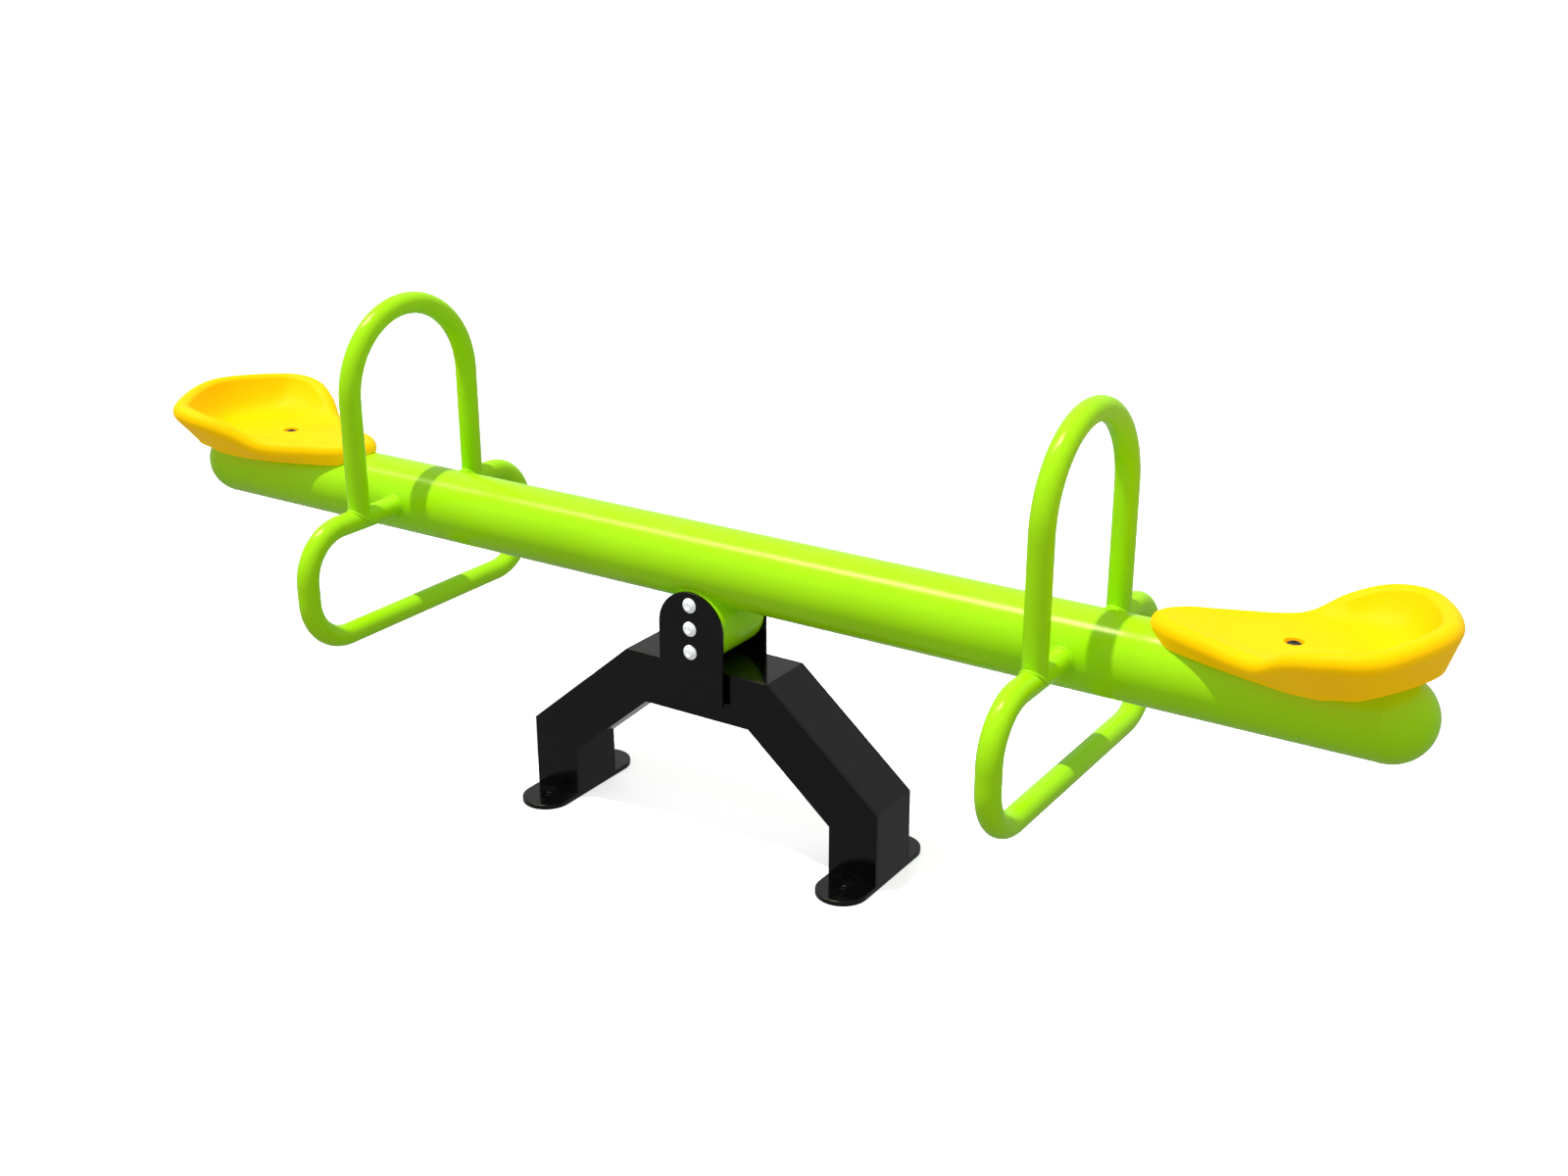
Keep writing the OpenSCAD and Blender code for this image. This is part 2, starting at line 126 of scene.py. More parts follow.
def shade(mesh, crease_degrees):
    """Smooth shading, with a crease wherever two faces meet at this angle or more."""
    limit = math.radians(crease_degrees)
    work = bmesh.new()
    work.from_mesh(mesh)
    for face in work.faces:
        face.smooth = True
    for edge in work.edges:
        edge.smooth = len(edge.link_faces) == 2 and edge.calc_face_angle(0) < limit
    work.to_mesh(mesh)
    work.free()


def plain_copy(source, name):
    """The source with its modifiers applied, as a plain mesh in a new object; the source goes."""
    graph = bpy.context.evaluated_depsgraph_get()
    mesh = bpy.data.meshes.new_from_object(source.evaluated_get(graph))
    bpy.data.objects.remove(source)
    mesh.name = name
    return add_object(name, mesh)


def cut(piece, *cutters):
    """Takes the cutters' solids out of a piece, and returns it as a plain mesh."""
    for cutter in cutters:
        modifier = piece.modifiers.new("cut", "BOOLEAN")
        modifier.operation = "DIFFERENCE"
        modifier.solver = "EXACT"
        modifier.object = cutter
    name = piece.name
    piece.name = name + "_uncut"
    result = plain_copy(piece, name)
    for cutter in cutters:
        bpy.data.objects.remove(cutter)
    tidy_mesh(result.data)
    return result


def turned(name, profile, axis, centre, segments):
    """A solid of revolution from a closed outline of (radius, along) points."""
    angles = np.arange(segments) * TURN / segments
    along = Vector(axis)
    across = along.orthogonal().normalized()
    third = along.cross(across)
    points = []
    for radius, height in profile:
        for a in angles:
            spoke = across * math.cos(a) + third * math.sin(a)
            points.append(Vector(centre) + spoke * radius + along * height)
    faces = []
    for k in range(len(profile)):
        for j in range(segments):
            a, b = k * segments, (k + 1) % len(profile) * segments
            following = (j + 1) % segments
            faces.append((a + j, a + following, b + following, b + j))
    mesh = mesh_from(name, points, faces)
    tidy_mesh(mesh)
    return add_object(name, mesh)


def arc(centre, radius, start, end, steps):
    """Points round part of a circle, in degrees, both ends included."""
    angles = np.radians(np.linspace(start, end, steps + 1))
    return [(centre[0] + radius * math.cos(a), centre[1] + radius * math.sin(a)) for a in angles]


def hexagon_cutter(name, bottom, across_flats, depth):
    """A six-sided prism along +Z, from its bottom height up by its depth."""
    corner = across_flats / math.sqrt(3)
    rings = []
    for z in (bottom, bottom + depth):
        for k in range(6):
            a = k * TURN / 6
            rings.append((corner * math.cos(a), corner * math.sin(a), z))
    sides = [(k, (k + 1) % 6, 6 + (k + 1) % 6, 6 + k) for k in range(6)]
    ends = [tuple(range(5, -1, -1)), tuple(range(6, 12))]
    return add_object(name, mesh_from(name, rings, sides + ends))


# ---- Node trees ----


class Field:
    """One output of a node; arithmetic on it adds Math nodes to its tree."""

    def __init__(self, owner, socket):
        self.owner = owner
        self.socket = socket

    def __add__(self, other):
        return self.owner.math("ADD", self, other)

    __radd__ = __add__

    def __sub__(self, other):
        return self.owner.math("SUBTRACT", self, other)

    def __rsub__(self, other):
        return self.owner.math("SUBTRACT", other, self)

    def __mul__(self, other):
        return self.owner.math("MULTIPLY", self, other)

    __rmul__ = __mul__

    def __truediv__(self, other):
        return self.owner.math("DIVIDE", self, other)

    def __rtruediv__(self, other):
        return self.owner.math("DIVIDE", other, self)


class Tree:
    """A node tree, with one way to add nodes to it."""

    def __init__(self, tree):
        self.tree = tree

    def feed(self, socket, value):
        """Links a field to a socket, or sets the socket to a plain value."""
        if isinstance(value, Field):
            self.tree.links.new(value.socket, socket)
        else:
            socket.default_value = value

    def node(self, kind, settings, values, output=0):
        """Adds a node, sets it up, feeds its sockets with values or links, and gives one output."""
        added = self.tree.nodes.new(kind)
        for name, setting in settings.items():
            setattr(added, name, setting)
        for socket, value in values.items():
            self.feed(added.inputs[socket], value)
        return Field(self, added.outputs[output])

    def math(self, operation, *values):
        return self.node("ShaderNodeMath", {"operation": operation}, dict(enumerate(values)))

    def between(self, value, low, high, first=0, last=1):
        """The first number where the value is below low, the last above high, smooth between."""
        limits = {"From Min": low, "From Max": high, "To Min": first, "To Max": last}
        settings = {"interpolation_type": "SMOOTHSTEP"}
        return self.node("ShaderNodeMapRange", settings, {"Value": value, **limits})


# ---- Finishes ----


class Finish(Tree):
    """A material with a Principled shader, whose patterns lie in Object coordinates."""

    def __init__(self, name):
        self.material = bpy.data.materials.new(name)
        self.material.use_nodes = True
        super().__init__(self.material.node_tree)
        self.place = self.node("ShaderNodeTexCoord", {}, {}, "Object")

    def noise(self, lump, detail=2, stretch=(1, 1, 1)):
        """Random values around a half, in lumps of about this size."""
        place = self.node("ShaderNodeMapping", {}, {"Vector": self.place, "Scale": stretch})
        values = {"Vector": place, "Scale": 1 / lump, "Detail": detail}
        return self.node("ShaderNodeTexNoise", {}, values)

    def blend(self, share, first, second):
        """A colour that goes from the first to the second."""
        colours = {0: share, 6: as_colour(first), 7: as_colour(second)}
        return self.node("ShaderNodeMix", {"data_type": "RGBA"}, colours, 2)

    def height(self):
        """How high a point lies, in metres."""
        return self.node("ShaderNodeSeparateXYZ", {}, {0: self.place}, "Z")

    def facing_up(self):
        """The upward part of the surface's own normal."""
        normal = self.node("ShaderNodeTexCoord", {}, {}, "Normal")
        return self.node("ShaderNodeSeparateXYZ", {}, {0: normal}, "Z")

    def relief(self, height, depth):
        """A bumped normal whose hills rise by this depth."""
        return self.node("ShaderNodeBump", {}, {"Height": height, "Distance": depth})

    def shaded(self, **values):
        """Feeds the shader's sockets with values or fields, and gives the material."""
        sockets = self.tree.nodes["Principled BSDF"].inputs
        for name, value in values.items():
            self.feed(sockets[name.replace("_", " ")], value)
        return self.material


def as_colour(value):
    """A plain colour with its alpha, or a field as it is."""
    return value if isinstance(value, Field) else (*value, 1.0)


def green_paint():
    """Lime green powder coat: a soft gloss with a faint orange peel."""
    finish = Finish("green_paint_gloss")
    tone = finish.between(finish.noise(lump=0.25), 0.3, 0.7)
    upward = finish.between(finish.facing_up(), 0.6, 1.0)
    film = upward * finish.between(finish.noise(lump=50 * MM, detail=5), 0.4, 0.8)
    colour = finish.blend(tone, (0.430, 0.905, 0.005), (0.455, 0.945, 0.007))
    peel = finish.noise(lump=3.5 * MM, detail=1)
    return finish.shaded(
        Base_Color=finish.blend(0.05 * film, colour, (0.62, 0.78, 0.25)),
        Roughness=0.16 + 0.05 * finish.noise(lump=20 * MM, detail=3) + 0.04 * film,
        Normal=finish.relief(peel, depth=0.012 * MM),
        Specular_IOR_Level=0.14,
    )


def black_paint():
    """Black gloss enamel over steel plate, with a little dust, most of it near the ground."""
    finish = Finish("black_paint_gloss")
    dust = finish.between(finish.noise(lump=30 * MM, detail=6), 0.45, 0.85)
    low = 1 - finish.between(finish.height(), 0.0, 0.12)
    peel = finish.noise(lump=4 * MM, detail=1)
    share = dust * (0.15 + 0.5 * low)
    return finish.shaded(
        Base_Color=finish.blend(share, (0.0016, 0.0016, 0.0018), (0.012, 0.011, 0.010)),
        Roughness=0.10 + 0.05 * finish.noise(lump=15 * MM, detail=3) + 0.12 * dust * low,
        Normal=finish.relief(peel, depth=0.008 * MM),
        Specular_IOR_Level=0.3,
    )


def yellow_plastic():
    """Yellow moulded plastic: satin and finely grained, with a painted orange glow that lightens its
    shaded sides.
    """
    finish = Finish("yellow_plastic_satin")
    tone = finish.between(finish.noise(lump=0.12), 0.3, 0.7)
    grain = finish.noise(lump=0.9 * MM) + 0.6 * finish.noise(lump=2.5 * MM, detail=1)
    return finish.shaded(
        Base_Color=finish.blend(tone, (0.98, 0.57, 0.0), (1.0, 0.60, 0.0)),
        Roughness=0.40 + 0.08 * finish.noise(lump=10 * MM, detail=3),
        Normal=finish.relief(grain, depth=0.02 * MM),
        IOR=1.25,
        Specular_IOR_Level=0.15,
        # Painted glow: emission that stands in for light passing through the plastic into its shaded
        # flanks
        Emission_Color=(1.0, 0.55, 0.0, 1.0),
        Emission_Strength=0.23,
    )


def zinc():
    """Bright white zinc on the ear bolts and the seats' nuts, with a painted white glow that lightens
    the heads.
    """
    finish = Finish("zinc_bright")
    patches = finish.between(finish.noise(lump=6 * MM, detail=4), 0.35, 0.7)
    return finish.shaded(
        Base_Color=finish.blend(patches, (0.90, 0.92, 0.91), (0.98, 1.0, 0.99)),
        Roughness=0.30 + 0.10 * patches,
        Metallic=0.15 + 0.10 * finish.noise(lump=4 * MM, detail=3),
        Specular_IOR_Level=0.5,
        # Painted glow: emission that lightens the heads as bright reflections would
        Emission_Color=(0.95, 1.0, 0.98, 1.0),
        Emission_Strength=0.22,
    )


def dark_steel():
    """Blackened steel on the seats' bolts and washers."""
    finish = Finish("dark_steel_satin")
    patches = finish.noise(lump=4 * MM, detail=4)
    return finish.shaded(
        Base_Color=finish.blend(patches, (0.022, 0.020, 0.017), (0.065, 0.058, 0.048)),
        Roughness=0.30 + 0.15 * patches,
        Specular_IOR_Level=0.5,
        Metallic=0.7,
    )


def bare_steel():
    """Bare steel inside the pivot, with fine marks from the lathe."""
    finish = Finish("steel_turned")
    marks = finish.noise(lump=1.5 * MM, stretch=(1, 12, 1))
    film = finish.noise(lump=20 * MM, detail=4)
    return finish.shaded(
        Base_Color=finish.blend(film, (0.42, 0.42, 0.43), (0.58, 0.58, 0.59)),
        Roughness=0.28 + 0.15 * film,
        Normal=finish.relief(marks, depth=0.01 * MM),
        Metallic=1.0,
    )


def rubber():
    """Dull black rubber of the torsion bushes."""
    finish = Finish("rubber_matt")
    bloom = finish.noise(lump=8 * MM, detail=4)
    return finish.shaded(
        Base_Color=finish.blend(bloom, (0.012, 0.012, 0.012), (0.030, 0.029, 0.028)),
        Roughness=0.75 + 0.15 * bloom,
        Normal=finish.relief(bloom, depth=0.05 * MM),
        Specular_IOR_Level=0.4,
    )


def nylon():
    """Natural nylon of the thrust washers."""
    finish = Finish("nylon_natural")
    tone = finish.noise(lump=10 * MM, detail=3)
    return finish.shaded(
        Base_Color=finish.blend(tone, (0.72, 0.68, 0.58), (0.80, 0.77, 0.68)),
        Roughness=0.45 + 0.1 * tone,
        Specular_IOR_Level=0.4,
    )


FINISHES = {
    "green_paint": green_paint(),
    "black_paint": black_paint(),
    "yellow_plastic": yellow_plastic(),
    "zinc": zinc(),
    "dark_steel": dark_steel(),
    "bare_steel": bare_steel(),
    "rubber": rubber(),
    "nylon": nylon(),
}


def fit(piece, body, slot, *nodes):
    """Paints a finished piece, rides it on its body and puts it in place of its CAD nodes."""
    piece.data.materials.clear()
    piece.data.materials.append(FINISHES[slot])
    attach(piece, body)
    if nodes:
        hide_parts(*nodes)


def finish_cad_nodes():
    """Gives every CAD node the finish of its slot in the record."""
    slots = {part["node"]: part["material_slot"] for part in frame["record"]["subparts"]}
    for node, piece in frame["nodes"].items():
        for material_slot in piece.material_slots:
            material_slot.material = FINISHES[slots[node]]


# ---- Seats: sizes in millimetres, from the seat's bolt and from the top of the beam ----

# Centre of the rolled rim, from nose to tail: along from the bolt, half width, height over the beam
RIM_KEYS = [
    (-207, 0, 4), (-180, 34, 4), (-125, 58, 3), (-20, 102, 6),
    (40, 138, 39), (100, 159, 59), (166, 134, 66), (220, 0, 75),
]
# Lower edge of the skirt at the same places: inside the rim's outer edge, height over the beam
SKIRT_KEYS = [
    (8, -18), (4, -20), (10, -23), (30, -26),
    (44, -20), (54, -11), (42, -1), (17, 15),
]
nose_x = RIM_KEYS[0][0]
rim_steps = 16
rim_r = 18
shell_t = 9
lip_r = 3.6
# The dish's floor, level but for a rise towards the nose
floor_h = 16
nose_rise = 6
# The line that the dish narrows to: where it starts, and its length as a share of the rim's
spine_start = -165
spine_ratio = 0.7
# How late the dish's wall rises, and the furthest that it leans back, in degrees
dish_power = 5
wall_lean_max = 52


def smooth_loop(keys, steps):
    """A closed smooth curve through rows of keys, with this many points from key to key."""
    a, b, c, d = (np.roll(keys, shift, axis=0) for shift in (1, 0, -1, -2))
    u = (np.arange(steps) / steps)[:, None, None]
    curve = b + (c - a) * u / 2 + (2 * a - 5 * b + 4 * c - d) * u**2 / 2
    curve = curve + (3 * b - a - 3 * c + d) * u**3 / 2
    return curve.transpose(1, 0, 2).reshape(-1, keys.shape[1])


def floor_at(x):
    """How high the dish's floor is at a place along the seat."""
    return floor_h + nose_rise * np.minimum(0, x / -nose_x) ** 2


class SeatShell:
    """The moulded seat as rings of points that run once round it, in millimetres."""

    def __init__(self):
        half = np.hstack([np.array(RIM_KEYS, float), np.array(SKIRT_KEYS, float)])
        mirrored = half[-2:0:-1] * (1, -1, 1, 1, 1)
        loop = smooth_loop(np.vstack([half, mirrored]), rim_steps)
        along = np.roll(loop, -1, axis=0)[:, :2] - np.roll(loop, 1, axis=0)[:, :2]
        along /= np.linalg.norm(along, axis=1)[:, None]
        self.centre = loop[:, :3]
        self.out = np.column_stack([-along[:, 1], along[:, 0], np.zeros(len(loop))])
        self.foot_out = rim_r - loop[:, 3]
        self.foot_z = loop[:, 4]
        self.spine = spine_start + (self.centre[:, 0] - nose_x) * spine_ratio
        self.inner_angle = self.wall_angle()

    def beside(self, out, z):
        """Points at a distance outside the rim's centre, at a height."""
        points = self.centre + self.out * np.asarray(out).reshape(-1, 1)
        points[:, 2] = z
        return points

    def rim(self, radius, angle):
        """A ring on the rolled rim, at an angle up from its outermost line."""
        return self.beside(
            radius * np.cos(angle) * np.ones(len(self.out)),
            self.centre[:, 2] + radius * np.sin(angle),
        )

    def wall_angle(self):
        """Where on the rim the dish leaves it, so that its wall starts in line with it."""
        first_guess, rounds = 110, 6
        angle = np.full(len(self.out), math.radians(first_guess))
        for _ in range(rounds):
            edge = self.rim(rim_r, angle)
            reach = np.hypot(edge[:, 0] - self.spine, edge[:, 1])
            rise = edge[:, 2] - floor_at(edge[:, 0])
            lean = np.arctan2(dish_power * rise, reach)
            angle = math.radians(90) + np.clip(lean, 0, math.radians(wall_lean_max))
        return angle

    def dish(self, share, radius, drop):
        """A ring of the dish, at a share of the way out from the spine to the rim."""
        edge = self.rim(radius, self.inner_angle)
        x = self.spine + (edge[:, 0] - self.spine) * share
        base = floor_at(x) - drop
        return np.column_stack([x, edge[:, 1] * share, base + (edge[:, 2] - base) * share**dish_power])

    def skirt_angle(self):
        """Where the rolled rim runs straight on into the skirt."""
        fall = self.foot_z + lip_r - self.centre[:, 2]
        reach = np.hypot(self.foot_out, fall)
        return np.arctan2(fall, self.foot_out) + np.arccos(np.clip(rim_r / reach, -1, 1))

    def rings(self):
        """All the rings in order, from the top of the dish over the rim and lip to its underside."""
        dish_rings, dish_crowding, rim_rings, lip_rings, inner_rings = 25, 1.5, 19, 9, 8
        shares = 1 - (1 - np.arange(dish_rings) / dish_rings) ** dish_crowding
        outer = [self.dish(s, rim_r, 0) for s in shares]
        start, end = self.inner_angle, self.skirt_angle()
        outer += [self.rim(rim_r, start + (end - start) * t) for t in np.linspace(0, 1, rim_rings)]
        skirt_top = outer[-1]
        skirt_foot = self.beside(self.foot_out, self.foot_z + lip_r)
        outer += [skirt_top + (skirt_foot - skirt_top) * t for t in (0.2, 0.4, 0.6, 0.8)]
        lip = []
        for a in np.radians(np.linspace(0, -180, lip_rings)):
            out = self.foot_out - lip_r + lip_r * math.cos(a)
            lip.append(self.beside(out, self.foot_z + lip_r + lip_r * math.sin(a)))
        inner_r = rim_r - shell_t
        turn = [self.rim(inner_r, start * t) for t in np.linspace(0, 1, inner_rings)]
        under = [self.dish(s, inner_r, shell_t) for s in shares[::-1]]
        return outer + lip + turn + under

    def object(self, name, side):
        """The shell as a mesh, in place on its end of the beam."""
        rings = self.rings()
        count = len(self.out)
        points = np.vstack(rings) * MM + (seat_x, 0, seat_datum_z)
        points[:, 0] *= side
        k, j = np.meshgrid(np.arange(len(rings) - 1), np.arange(count), indexing="ij")
        a = (k * count + j).ravel()
        b = (k * count + (j + 1) % count).ravel()
        mesh = mesh_from(name, points, np.column_stack([a, a + count, b + count, b]))
        tidy_mesh(mesh)
        return add_object(name, mesh)


def beam_cutter(clearance):
    """The beam's own space, a little larger, for cutting what sits on it."""
    end = beam_half + 2 * beam_r
    profile = [(0, -end), (beam_r + clearance, -end), (beam_r + clearance, end), (0, end)]
    return turned("beam_cutter", profile, (1, 0, 0), (0, 0, beam_z), segments=256)


def recess_cutter(side):
    """The bolt's recess and hole in a seat's floor, with a rounded lip."""
    recess_r, recess_depth, hole_r, lip = 15 * MM, 6 * MM, 6.5 * MM, 1.2 * MM
    below, above = 50 * MM, 30 * MM
    top = seat_datum_z + floor_h * MM
    profile = [(0, -below), (hole_r, -below), (hole_r, -recess_depth), (recess_r, -recess_depth)]
    profile += arc((recess_r + lip, -lip), lip, 180, 90, steps=5)
    profile += [(recess_r + lip, above), (0, above)]
    return turned("recess_cutter", profile, (0, 0, 1), (side * seat_x, 0, top), segments=72)


def add_seat(side):
    beam_gap = 1 * MM
    name = f"seat_{SIDE_NAMES[side]}_moulding"
    seat = cut(SeatShell().object(name, side), beam_cutter(beam_gap), recess_cutter(side))
    shade(seat.data, moulding_crease)
    fit(seat, "beam", "yellow_plastic", f"seat_{SIDE_NAMES[side]}")


# ---- Plates with softened edges ----

# How far each plate's edges are broken, in millimetres
PLATE_EDGES = {
    "arch_plate_front": 1.2, "arch_plate_rear": 1.2,
    "cover_top": 0.4, "cover_left": 0.4, "cover_right": 0.4,
    "soffit_top": 0.4, "soffit_left": 0.4, "soffit_right": 0.4,
    "foot_plate_left": 1.5, "foot_plate_right": 1.5,
    "ear_front": 1.0, "ear_rear": 1.0,
    "ear_packer_front": 0.6, "ear_packer_rear": 0.6,
}


def add_plate(node, edge):
    """A CAD plate again, with its cut edges broken as a grinder leaves them."""
    cad_gap, flat_degrees, corner_degrees = 0.001 * MM, 0.5, 25
    mesh = frame["nodes"][node].data.copy()
    mesh.attributes.remove(mesh.attributes["custom_normal"])
    work = bmesh.new()
    work.from_mesh(mesh)
    bmesh.ops.remove_doubles(work, verts=work.verts, dist=cad_gap)
    flat = math.radians(flat_degrees)
    bmesh.ops.dissolve_limit(work, angle_limit=flat, verts=work.verts, edges=work.edges)
    work.to_mesh(mesh)
    work.free()
    plate = add_object(node + "_source", mesh)
    bevel = plate.modifiers.new("edges", "BEVEL")
    bevel.width = edge * MM
    bevel.segments = 3
    bevel.limit_method = "ANGLE"
    bevel.angle_limit = math.radians(corner_degrees)
    bevel.harden_normals = True
    shade(mesh, plate_crease)
    plate = plain_copy(plate, node + "_plate")
    fit(plate, "stand", "black_paint", node)


# ---- The cross tube ----


def add_cross_tube():
    """The moving tube under the beam, its ends rounded and its top shaped to the beam."""
    wall, edge = 4 * MM, 1.6 * MM
    inner_r = cross_tube_r - wall
    end = cross_tube_half
    profile = arc((cross_tube_r - edge, end - edge), edge, 0, 90, steps=6)
    profile += [(inner_r, end), (inner_r, -end)]
    profile += arc((cross_tube_r - edge, -end + edge), edge, -90, 0, steps=6)
    tube = turned("cross_tube", profile, (0, 1, 0), (0, 0, pivot_z), segments=192)
    tube = cut(tube, beam_cutter(clearance=0))
    shade(tube.data, moulding_crease)
    fit(tube, "beam", "green_paint", "pivot_tube")


# ---- Geometry Nodes ----


class GeometryTree(Tree):
    """A Geometry Nodes tree with named inputs, one of which is always its finish."""

    def __init__(self, name, inputs):
        super().__init__(bpy.data.node_groups.new(name, "GeometryNodeTree"))
        self.add_socket("Geometry", "OUTPUT", "NodeSocketGeometry")
        self.add_socket("Geometry", "INPUT", "NodeSocketGeometry")
        for label, kind in inputs.items():
            self.add_socket(label, "INPUT", kind)
        self.add_socket("Finish", "INPUT", "NodeSocketMaterial")
        self.inputs = self.tree.nodes.new("NodeGroupInput").outputs

    def add_socket(self, label, way, kind):
        self.tree.interface.new_socket(label, in_out=way, socket_type=kind)

    def given(self, label):
        """What the tree is given at one of its inputs."""
        return Field(self, self.inputs[label])

    def end_with(self, geometry):
        """Puts the geometry at the tree's output, made real, smooth and in its finish."""
        real = self.node("GeometryNodeRealizeInstances", {}, {0: geometry})
        smooth = self.node("GeometryNodeSetShadeSmooth", {}, {0: real})
        values = {"Geometry": smooth, "Material": self.given("Finish")}
        painted = self.node("GeometryNodeSetMaterial", {}, values)
        self.feed(self.tree.nodes.new("NodeGroupOutput").inputs[0], painted)

    def run(self, source, name, **values):
        """Runs the tree on a source object and gives the result as a plain mesh."""
        modifier = source.modifiers.new("tree", "NODES")
        modifier.node_group = self.tree
        for item in self.tree.interface.items_tree:
            if item.in_out == "INPUT" and item.name in values:
                modifier[item.identifier] = values[item.name]
        return plain_copy(source, name)


def bead_tree():
    """A rippled weld bead along each line of the source mesh."""
    steps_per_ripple = 4
    number = "NodeSocketFloat"
    inputs = {"Radius": number, "Pitch": number, "Ripple": number, "Sides": "NodeSocketInt"}
    tree = GeometryTree("weld_bead", inputs)
    pitch = tree.given("Pitch")
    line = tree.node("GeometryNodeMeshToCurve", {}, {0: tree.given("Geometry")})
    spacing = {"Curve": line, "Length": pitch / steps_per_ripple}
    line = tree.node("GeometryNodeResampleCurve", {"mode": "LENGTH"}, spacing)
    share = tree.node("GeometryNodeSplineParameter", {}, {}, "Factor")
    length = tree.node("GeometryNodeSplineLength", {}, {}, "Length")
    ripples = tree.math("ROUND", length / pitch)
    wave = tree.math("SINE", share * ripples * TURN)
    radius = (1 + wave * tree.given("Ripple")) * tree.given("Radius")
    circle = {"Resolution": tree.given("Sides"), "Radius": 1.0}
    profile = tree.node("GeometryNodeCurvePrimitiveCircle", {}, circle)
    swept = {"Curve": line, "Profile Curve": profile, "Scale": radius, "Fill Caps": True}
    tree.end_with(tree.node("GeometryNodeCurveToMesh", {}, swept))
    return tree


def fastener_tree():
    """One fastener on each point of the source, along that point's outward direction."""
    tree = GeometryTree("fasteners", {"Fastener": "NodeSocketObject"})
    shape = {"Object": tree.given("Fastener")}
    fastener = tree.node("GeometryNodeObjectInfo", {}, shape, "Geometry")
    vector = {"data_type": "FLOAT_VECTOR"}
    outward = tree.node("GeometryNodeInputNamedAttribute", vector, {"Name": "outward"})
    turn = tree.node("FunctionNodeAlignRotationToVector", {"axis": "Z"}, {"Vector": outward})
    values = {"Points": tree.given("Geometry"), "Instance": fastener, "Rotation": turn}
    tree.end_with(tree.node("GeometryNodeInstanceOnPoints", {}, values))
    return tree


# ---- Bolts ----


def bolt(name, shank_r, shank_l, head_r, head_h, socket):
    """A domed bolt along +Z with a hexagon socket, its head's underside at z = 0."""
    segments = 64
    rim = 0.06 * head_r
    flat_r = 0.66 * socket
    chamfer = 0.12 * shank_r
    dome_h = head_h - 2 * rim
    drop = (head_r**2 - flat_r**2 - dome_h**2) / (2 * dome_h)
    dome_r = math.hypot(head_r, drop)
    start = math.degrees(math.atan2(drop, head_r))
    end = math.degrees(math.atan2(drop + dome_h, flat_r))
    profile = [(0, -shank_l), (shank_r - chamfer, -shank_l), (shank_r, -shank_l + chamfer)]
    profile += [(shank_r, 0)]
    profile += arc((head_r - rim, rim), rim, -90, 0, steps=4)
    dome = arc((0, 2 * rim - drop), dome_r, start, end, steps=12)
    profile += [(min(r, head_r), z) for r, z in dome]
    profile += [(0, head_h)]
    solid = turned(name, profile, (0, 0, 1), (0, 0, 0), segments)
    depth = 0.55 * head_h
    hole = hexagon_cutter("socket_cutter", head_h - depth, socket, head_h)
    mouth_r = 0.64 * socket
    cone = [(0, head_h - 0.5 * mouth_r), (mouth_r, head_h), (mouth_r, 2 * head_h), (0, 2 * head_h)]
    mouth = turned("mouth_cutter", cone, (0, 0, 1), (0, 0, 0), segments)
    made = cut(solid, hole, mouth)
    shade(made.data, bolt_crease)
    return made


def points_object(name, places):
    """A mesh of loose points, each with its outward direction."""
    mesh = mesh_from(name, [place for place, _ in places], [])
    outward = mesh.attributes.new("outward", "FLOAT_VECTOR", "POINT")
    outward.data.foreach_set("vector", np.array([way for _, way in places], np.float32).ravel())
    return add_object(name, mesh)


def set_bolts(name, tree, sample, places, body, slot, node):
    """A copy of the sample bolt at every place, as one piece that stands for the CAD's bolts."""
    source = points_object(name + "_points", places)
    made = tree.run(source, name, Fastener=sample, Finish=FINISHES[slot])
    bpy.data.objects.remove(sample)
    shade(made.data, bolt_crease)
    fit(made, body, slot, node)


def add_bolts():
    tree = fastener_tree()
    head_r = 14 * MM
    head_h = EAR_BOLTS.high.y - EAR.high.y
    pitch = EAR_BOLTS.size.z / 2 - head_r
    shank = {"shank_r": 8 * MM, "shank_l": 16 * MM}
    sample = bolt("ear_bolt", head_r=head_r, head_h=head_h, socket=10 * MM, **shank)
    places = [
        ((0, side * EAR.high.y, pivot_z + step * pitch), (0, side, 0))
        for side in (FRONT, REAR)
        for step in (-1, 0, 1)
    ]
    set_bolts("ear_button_bolts", tree, sample, places, "stand", "zinc", "ear_bolts")
    shank = {"shank_r": 6 * MM, "shank_l": 30 * MM}
    sample = bolt("seat_bolt", head_r=10.5 * MM, head_h=3.4 * MM, socket=8 * MM, **shank)
    places = [((side * seat_x, 0, SEAT_WASHERS.high.z), (0, 0, 1)) for side in (LEFT, RIGHT)]
    set_bolts("seat_low_bolts", tree, sample, places, "beam", "dark_steel", "seat_bolts")


# ---- Weld beads ----

BEAD_SIZES = {"Radius": 3.0 * MM, "Pitch": 4.5 * MM, "Ripple": 0.07, "Sides": 10}
# How far short of an edge's end its bead stops, and how deep the domed ends' seams are sunk
bead_inset = 4 * MM
seam_depth = 2.6 * MM


def loop_angles(count):
    return np.arange(count) * TURN / count


def stub_line(x, side):
    """Where a foot rest's tube meets the side of the beam."""
    a = loop_angles(count=48)
    y = side * np.sqrt(beam_r**2 - (rail_r * np.sin(a)) ** 2)
    return np.column_stack([x + rail_r * np.cos(a), y, beam_z + rail_r * np.sin(a)])


def post_line(x, side):
    """Where a handle's post stands on the foot rest's tube."""
    a = loop_angles(count=48)
    z = beam_z + rail_r * np.abs(np.sin(a))
    return np.column_stack([x + rail_r * np.cos(a), side * post_y + rail_r * np.sin(a), z])


